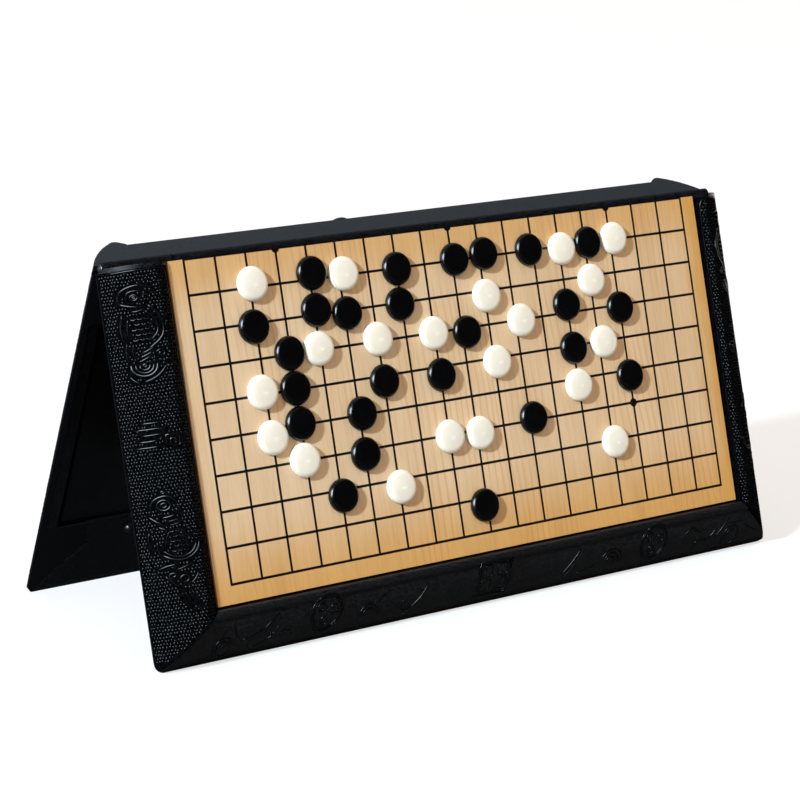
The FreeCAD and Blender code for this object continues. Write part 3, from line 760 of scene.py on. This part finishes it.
def scales(x, y, rows, columns, step, radius, width):
    """Rows of small overlapping arcs."""
    return [arc(x + (column + row % 2 / 2) * step, y + row * step, radius, 15, 165, width, 5)
            for row in range(rows) for column in range(columns)]


print("a fret of two turns has", len(fret(0, 0, 10, 1)["points"]), "corners")


# %% Flat strokes to a mesh
STROKE_GAIN = 1.25
STROKE_TIP = 0.35


def add_spline(line, mark):
    """One stroke as a NURBS spline, thin at its two ends unless it is closed."""
    points = mark["points"]
    closed = mark.get("closed", False)
    last = len(points) - 1
    spline = line.splines.new("NURBS")
    spline.points.add(last)
    for i, (spot, place) in enumerate(zip(spline.points, points)):
        tip = STROKE_TIP if i in (0, last) and not closed else 1.0
        spot.co = (place[0] * MM, place[1] * MM, 0, 1)
        spot.radius = STROKE_GAIN * mark["width"] / 2 * MM * tip
    spline.use_cyclic_u = closed
    spline.order_u = 2 if mark.get("sharp") else 3
    spline.use_endpoint_u = not closed


def flat_mesh(name, strokes):
    """All strokes of one drawing as a mesh: x and y as drawn, z the height of the round back."""
    line = bpy.data.curves.new(name, "CURVE")
    line.dimensions = "3D"
    line.bevel_depth = 1.0
    line.bevel_resolution = 1
    line.resolution_u = 4
    line.use_fill_caps = True
    for mark in strokes:
        add_spline(line, mark)
    holder = bpy.data.objects.new(name + " lines", line)
    mesh = bpy.data.meshes.new_from_object(holder)
    bpy.data.objects.remove(holder)
    bpy.data.curves.remove(line)
    mesh.name = name
    return mesh


trial = flat_mesh("trial", [ring(0, 0, 5, 1)])
print("one ring makes", len(trial.polygons), "faces")
bpy.data.meshes.remove(trial)


# %% Drop a mesh onto the plastic
CLEAR_ABOVE = 60 * MM
FLATTEN = 0.62
SAME_PLACE = 0.0005 * MM


class Rail:
    """One rail of one half, with the way from a drawing's coordinates to its surface."""

    def __init__(self, side, piece, body, to_flat):
        self.name = side + "_" + piece
        self.piece, self.body, self.to_flat = piece, body, to_flat
        self.lay = standing(side)
        self.turn = self.lay.to_3x3()
        solid = bmesh.new()
        solid.from_mesh(frame["nodes"][self.name].data)
        self.surface = BVHTree.FromBMesh(solid)
        solid.free()

    def land(self, a, b):
        """Point and normal of the rail under a place of the drawing, or None past its edge."""
        x, v = self.to_flat(a, b)
        start = self.lay @ Vector((x, v, CLEAR_ABOVE))
        place, normal, _, _ = self.surface.ray_cast(start, -(self.turn @ Vector((0, 0, 1))))
        return None if place is None else (place, normal)

    def finish(self, name, mesh):
        """Close the mesh's seams, turn its faces outwards and let it ride with the rail."""
        tidy = bmesh.new()
        tidy.from_mesh(mesh)
        bmesh.ops.remove_doubles(tidy, verts=tidy.verts, dist=SAME_PLACE)
        bmesh.ops.recalc_face_normals(tidy, faces=tidy.faces)
        tidy.to_mesh(mesh)
        tidy.free()
        mesh.shade_smooth()
        mesh.materials.append(RELIEF)
        piece = bpy.data.objects.new(name, mesh)
        bpy.context.collection.objects.link(piece)
        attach(piece, self.body)
        print("%-26s %6d faces" % (name, len(mesh.polygons)))

    def emboss(self, strokes):
        """Lay a drawing on the rail, and give back its flat points."""
        name = self.name + "_ornament"
        mesh = flat_mesh(name, strokes)
        drawn = [vertex.co.copy() for vertex in mesh.vertices]
        for vertex in mesh.vertices:
            place, normal = self.land(vertex.co.x, vertex.co.y)
            vertex.co = place + normal * vertex.co.z * FLATTEN
        self.finish(name, mesh)
        return drawn


def from_cap_edge(u, v):
    return HALF_LENGTH - u, v


def from_drawer_edge(u, v):
    return u - HALF_LENGTH, v


trial = Rail("front", "end_cap", "front_half", from_cap_edge)
place, normal = trial.land(10 * MM, 60 * MM)
print("a trial point lands %.1f mm over the parting plane" % ((trial.lay.inverted() @ place).z / MM))


# %% [markdown]
# ## Ornament of the end rails
#
# Each end rail has a coiled scroll near the hinge, a fret in the middle and a round scroll with scales
# near the foot. They could be sculpted one by one, but strokes drawn with numbers are the same on all
# four rails. They are drawn with the rail's own measures: the first number is the distance in from
# the outer edge, the second the distance from the hinge, both in millimetres.

# %% Coiled scroll near the hinge
def coiled_scroll():
    mane = [stroke(0.8, (4.9, 17.4), (4.3, 13), (7.3, 10.1), (12.6, 9.2), (17.6, 11.4)),
            stroke(0.6, (7.2, 16.6), (6.9, 13.2), (9.6, 11.5), (13.6, 12.2)),
            stroke(0.6, (12.8, 13.8), (15, 14.8), (17.2, 13.2)),
            ring(9.9, 14.9, 1.3, 0.6), ring(9.9, 14.9, 0.45, 0.6)]
    brow = [stroke(1.0, (4.8, 16.9), (7.5, 18.9), (11.8, 19.3)),
            stroke(0.9, (8.4, 20.9), (10.4, 21.5), (12.6, 20.4))]
    back = [stroke(1.0, (14.0, 18.4), (17.7, 22), (19.5, 27), (19.3, 32.5), (16, 36), (12.3, 38.4)),
            stroke(0.7, (12.8, 20.8), (16, 24), (17.5, 28.5), (16.6, 32.2), (13.6, 34.6)),
            stroke(0.8, (5.4, 22), (3.8, 27), (4.7, 33.8)),
            stroke(0.6, (7.0, 24), (5.9, 28.5), (6.6, 33)),
            stroke(0.6, (5.6, 34.8), (4.6, 38.5), (5.4, 43)),
            stroke(0.6, (7.6, 35.4), (6.7, 38.6), (7.4, 41.6))]
    neck = [stroke(0.9, (10.2 - 0.9 * i, 39.6 + 2.0 * i), (12.2 - 0.8 * i, 39.2 + 1.8 * i),
                   (14.8 - 0.9 * i, 37.4 + 2.1 * i)) for i in range(3)]
    coil = [arc(10.4, 45.6, radius, -12, 196, width)
            for radius, width in ((4.7, 1.1), (3.2, 0.8), (1.8, 0.7))]
    tail = [stroke(0.7, (9.0, 52.8), (12.6, 51.9), (16.4, 49.2), (18.9, 45.4)),
            scroll(17.0, 40.8, 2.0, 1.3, 200, 0.7), ring(10.4, 45.4, 0.6, 0.7),
            stroke(0.7, (5.0, 49.6), (6.2, 52.0), (8.0, 53.2))]
    return mane + brow + back + neck + coil + tail + scales(8.6, 24.0, 5, 3, 2.3, 0.95, 0.5)


print("coiled scroll:", len(coiled_scroll()), "strokes")


# %% Fret in the middle
BAR_ENDS = ((6.2, 12.8), (3.8, 15.0), (5.6, 14.0), (4.6, 10.8), (3.4, 11.2))
BARS_FROM = 71
BAR_STEP = 2.7
BAR_BOW = 0.3


def middle_fret():
    bars = []
    for i, (inner, outer) in enumerate(BAR_ENDS):
        v = BARS_FROM + BAR_STEP * i
        bars.append(stroke(0.95, (inner, v), ((inner + outer) / 2, v + BAR_BOW), (outer, v)))
    return bars + [fret(14.0, 77.2, 5.2, 0.8)]


print("middle fret:", len(middle_fret()), "strokes")


# %% Round scroll near the foot
def round_scroll():
    head = [ring(9.6, 108.2, 2.4, 0.7), ring(9.6, 108.2, 1.0, 0.6),
            arc(9.8, 108.8, 4.7, 170, 350, 0.8),
            stroke(0.8, (14.4, 108), (15.4, 111), (15.3, 114)), ring(9.8, 102.4, 0.5, 0.6),
            stroke(1.0, (8.4, 113.6), (10.8, 113.9), (13.1, 112.7)),
            stroke(0.55, (10.2, 115.4), (12.4, 115.6), (14.4, 114.6)),
            stroke(0.55, (10.6, 117.1), (12.8, 117.3), (14.8, 116.3)),
            stroke(1.0, (4.3, 112.5), (6.2, 115.3), (8.6, 116.9)),
            stroke(0.9, (6.8, 117.5), (8.4, 119.0), (9.9, 119.5))]
    body = [arc(13.1, 125.2, 8.0, 2, 142, 1.0), arc(13.1, 125.2, 6.6, 8, 152, 0.7),
            stroke(0.6, (10.2, 119.8), (8.4, 123.6), (8.0, 127.6)),
            stroke(0.6, (3.7, 119.5), (2.9, 124), (4.0, 128.4)),
            stroke(0.6, (5.8, 124), (5.1, 128), (6.8, 131.6)),
            stroke(0.9, (4.6, 136.8), (7.4, 134.9), (11.4, 135.0)),
            stroke(0.7, (10.8, 137.2), (13.4, 137.0), (16.0, 135.4))]
    tail = [stroke(0.8, (6.6, 139.4), (8.6, 143.2), (12.2, 146.0)), ring(13.3, 141.6, 1.6, 0.6),
            stroke(0.7, (15.2, 144.2), (17.5, 142.4), (18.8, 139.4)),
            scroll(9.4, 139.8, 1.7, 1.2, 90, 0.6)]
    rays = [stroke(0.4, (11.2 + 1.3 * i, 147.4), (12.6 + 1.7 * i, 152), (13.8 + 2.1 * i, 157))
            for i in range(4)]
    return head + body + tail + rays + scales(11.0, 119.6, 5, 3, 2.2, 0.85, 0.45)


def edge_bead():
    """The worn, shining edge along the rail's end and its crest."""
    return [stroke(0.55, (1.0, 2.95), (8, 2.9), (16, 2.9), (21.6, 2.95), (24.2, 3.8), (25.2, 6.6),
                   (25.2, 40), (25.2, 157))]


end_drawing = coiled_scroll() + middle_fret() + round_scroll() + edge_bead()
print("an end rail has", len(end_drawing), "strokes")


# %% [markdown]
# ## Pebbles
#
# Between the ornament the end rails are covered with small pebbles in uneven rows. A bump texture
# would lose their glints, and they are too many to model apart: there are over a thousand on each
# rail. So one pebble is a low ball of a few dozen faces. It is stamped onto the rail row by row,
# turned to the surface's normal, and left out where a stroke of the ornament already is.

# %% One pebble
PEBBLE_SIZE = (0.84, 0.94, 0.46)
PEBBLE_SUNK = 0.32


def pebble_stamp():
    """A flattened ball, sunk so far that only a shallow cap stands out of the rail."""
    ball = bmesh.new()
    bmesh.ops.create_uvsphere(ball, u_segments=8, v_segments=3, radius=MM)
    bmesh.ops.scale(ball, vec=Vector(PEBBLE_SIZE), verts=ball.verts)
    bmesh.ops.translate(ball, vec=Vector((0, 0, -PEBBLE_SUNK * MM)), verts=ball.verts)
    stamp = bpy.data.meshes.new("pebble stamp")
    ball.to_mesh(stamp)
    ball.free()
    return stamp


stamp = pebble_stamp()
print("one pebble has", len(stamp.polygons), "faces")


# %% Where the pebbles go
# All of these are millimetres of the rail's drawing, except the spread of sizes and the slope.
PEBBLE_STEP = (1.55, 1.52)
PEBBLE_SPREAD = (0.75, 1.1)
PEBBLE_SHIFT = 0.25
FIELD_U = (0.5, 24.6)
FIELD_V = (4.2, 178.0)
SECTION_AT = 60
CLEAR_OF_STROKES = 0.72
HALF_DEPTH = 183.01
END_RAIL = 26.56
OUTER_RAIL = 24.37
MITRE_SLOPE = OUTER_RAIL / END_RAIL
MITRE_GAP = 1.3


def section_of(rail):
    """Places across the rail a tenth of a millimetre apart, and their distance along its surface."""
    low, high = FIELD_U
    across = [low + i / 10 for i in range(int((high - low) * 10) + 1)]
    places = [rail.land(u * MM, SECTION_AT * MM)[0] for u in across]
    walked = [0.0]
    for a, b in zip(places, places[1:]):
        walked.append(walked[-1] + (b - a).length / MM)
    return across, walked


def pebble_places(rail, seed, drawn):
    """Places of the pebbles in a rail's drawing, off its strokes and its mitre."""
    chance = Random(seed)
    strokes = KDTree(len(drawn))
    for i, place in enumerate(drawn):
        strokes.insert((place.x, place.y, 0), i)
    strokes.balance()
    across, walked = section_of(rail)
    low, high = FIELD_V
    for row in range(int((high - low) / PEBBLE_STEP[1]) + 1):
        for column in range(int(walked[-1] / PEBBLE_STEP[0]) + 1):
            shift_u = chance.uniform(-PEBBLE_SHIFT, PEBBLE_SHIFT)
            shift_v = chance.uniform(-PEBBLE_SHIFT, PEBBLE_SHIFT)
            size = chance.uniform(*PEBBLE_SPREAD)
            reach = (column + row % 2 / 2) * PEBBLE_STEP[0] + shift_u
            if reach > walked[-1]:
                continue
            u = across[min(bisect(walked, reach), len(across) - 1)]
            v = low + row * PEBBLE_STEP[1] + shift_v
            mitre = HALF_DEPTH - u * MITRE_SLOPE - MITRE_GAP
            if v < mitre and strokes.find((u * MM, v * MM, 0))[2] > CLEAR_OF_STROKES * MM:
                yield u, v, size


print("up to", int((FIELD_V[1] - FIELD_V[0]) / PEBBLE_STEP[1]) + 1, "rows of pebbles")


# %% Stamp the pebbles
def cover_with_pebbles(rail, seed, drawn):
    field = bmesh.new()
    along = rail.turn @ Vector((0, 1, 0))
    for u, v, size in pebble_places(rail, seed, drawn):
        landed = rail.land(u * MM, v * MM)
        if landed is None:
            continue
        place, normal = landed
        across = along.cross(normal).normalized()
        stand = Matrix((across, normal.cross(across), normal)).transposed().to_4x4()
        pebble = stamp.copy()
        pebble.transform(Matrix.Translation(place) @ stand @ Matrix.Scale(size, 4))
        field.from_mesh(pebble)
        bpy.data.meshes.remove(pebble)
    name = rail.name + "_pebbles"
    mesh = bpy.data.meshes.new(name)
    field.to_mesh(mesh)
    field.free()
    rail.finish(name, mesh)


for seed, side in enumerate(("front", "back")):
    cap = Rail(side, "end_cap", side + "_half", from_cap_edge)
    cover_with_pebbles(cap, seed, cap.emboss(end_drawing))
    face = Rail(side, "drawer_face", side + "_drawer", from_drawer_edge)
    cover_with_pebbles(face, seed + 10, face.emboss(end_drawing))
bpy.data.meshes.remove(stamp)


# %% [markdown]
# ## Ornament of the long rail
#
# The long rail is smooth, with two round medallions, a square fret in its middle and cloud scrolls
# between them. It uses the same strokes as the end rails, so both look like one maker's work. Here
# the first number runs along the rail from its middle and the second is the distance in from the
# outer edge.

# %% Medallions and square fret
WHORL_TURN = 0.4


def medallion(x, y):
    whorl = [scroll(x + 4.1 * cos(a), y + 4.1 * sin(a), 2.9, 1.4, degrees(a) + 180, 0.7)
             for a in (WHORL_TURN, WHORL_TURN + tau / 3, WHORL_TURN + 2 * tau / 3)]
    return [ring(x, y, 8.7, 0.8, 20), ring(x, y, 7.6, 0.5, 20)] + whorl


def square_fret(x, y):
    corners = [(-9.8, -8.0), (-9.6, 8.2), (9.6, 8.2), (9.8, -8.0)]
    frames = [{"width": width, "closed": True, "sharp": True,
               "points": [(x + a * share, y + b * share) for a, b in corners]}
              for width, share in ((0.8, 1.0), (0.5, 0.88))]
    cells = [fret(x + a, y + b, 5.6, 0.6, 1, 1.8) for a in (-7.4, 1.6) for b in (-6.0, 0.8)]
    return frames + cells


print("medallion:", len(medallion(0, 0)), "strokes, square fret:", len(square_fret(0, 0)), "strokes")


# %% Clouds
def cloud_shells():
    """Nested arcs: x, y, first and last angle, width, and one radius for each arc."""
    return [arc(x, y, radius, start, end, width)
            for x, y, start, end, width, radii in (
                (-154, 5.8, 20, 205, 0.8, (5.2, 3.4)), (74, 6.4, -5, 150, 0.8, (7.4, 5.4, 3.4)),
                (-74, 6.6, 30, 172, 0.8, (5.8, 3.8)), (154.5, 7.6, 40, 260, 0.6, (3.2,)))
            for radius in radii] + [ring(154.5, 7.6, 5.2, 0.8, 12)]


def cloud_ridges():
    return [stroke(0.7, (-150, 18.4), (-149.6, 14), (-147, 10), (-144, 7.6)),
            stroke(1.0, (-144, 8.4), (-138, 9.4), (-132.6, 11.2), (-129.6, 14.2), (-125.4, 17.6)),
            stroke(0.8, (-139.6, 8.6), (-140.8, 5.8), (-139.2, 3.4)),
            stroke(0.7, (-138.6, 3.6), (-131, 5.2), (-126.6, 8.4), (-125.2, 12)),
            stroke(0.8, (-124.4, 7.8), (-121.5, 9.2), (-118, 8.4), (-116.8, 6.6)),
            stroke(0.9, (-70.4, 4.8), (-67.8, 8), (-67.2, 12)),
            stroke(0.6, (-72, 11.6), (-69, 13.8), (-65, 16), (-61.5, 17.4)),
            stroke(0.9, (-54.4, 11), (-55, 7.4), (-52, 5.0), (-47, 7.4), (-43, 11.8), (-40.4, 17)),
            stroke(0.6, (-52, 3.8), (-47, 4.6), (-42.6, 4.2)),
            stroke(0.9, (43, 6), (47, 9.8), (50.4, 14), (53, 17.6)),
            stroke(0.7, (45, 4.4), (48.6, 7.4), (50.6, 11)),
            stroke(0.8, (54, 5.2), (60, 6.4), (66.4, 7.6)),
            stroke(0.8, (121.4, 12.2), (125, 16.2), (127.4, 16.2), (130, 13), (134.4, 12.2)),
            stroke(0.9, (129.6, 4.0), (130, 7.8), (132.6, 8.6), (138.4, 8.2), (141.6, 10.4),
                   (142.6, 13.4)),
            stroke(0.8, (143.6, 8.2), (147, 12.8), (151.2, 17)),
            stroke(0.6, (149, 14.2), (155, 14.8), (161.6, 14.2))]


def cloud_marks():
    hatch = [stroke(0.4, (161 + 1.9 * i, 12.4 - 0.9 * i), (165 + 1.9 * i, 11.6 - i),
                    (168.4 + 1.6 * i, 9.4 - 0.7 * i)) for i in range(5)]
    dots = [ring(x, y, 0.5, 0.6, 5)
            for x, y in ((-157, 4), (-154, 3.4), (-151, 4.2), (-154, 7), (-128.6, 8.4))]
    return hatch + dots


clouds = cloud_shells() + cloud_ridges() + cloud_marks()
print("clouds:", len(clouds), "strokes")


# %% Emboss the long rails
def from_outer_edge(x, u):
    """Seen from outside, the drawing runs from the closed end to the drawer's end."""
    return -x, HALF_DEPTH * MM - u


long_drawing = medallion(-98.6, 13.0) + medallion(101.0, 13.0) + square_fret(-0.4, 12.4) + clouds
for side in ("front", "back"):
    Rail(side, "outer_rail", side + "_half", from_outer_edge).emboss(long_drawing)
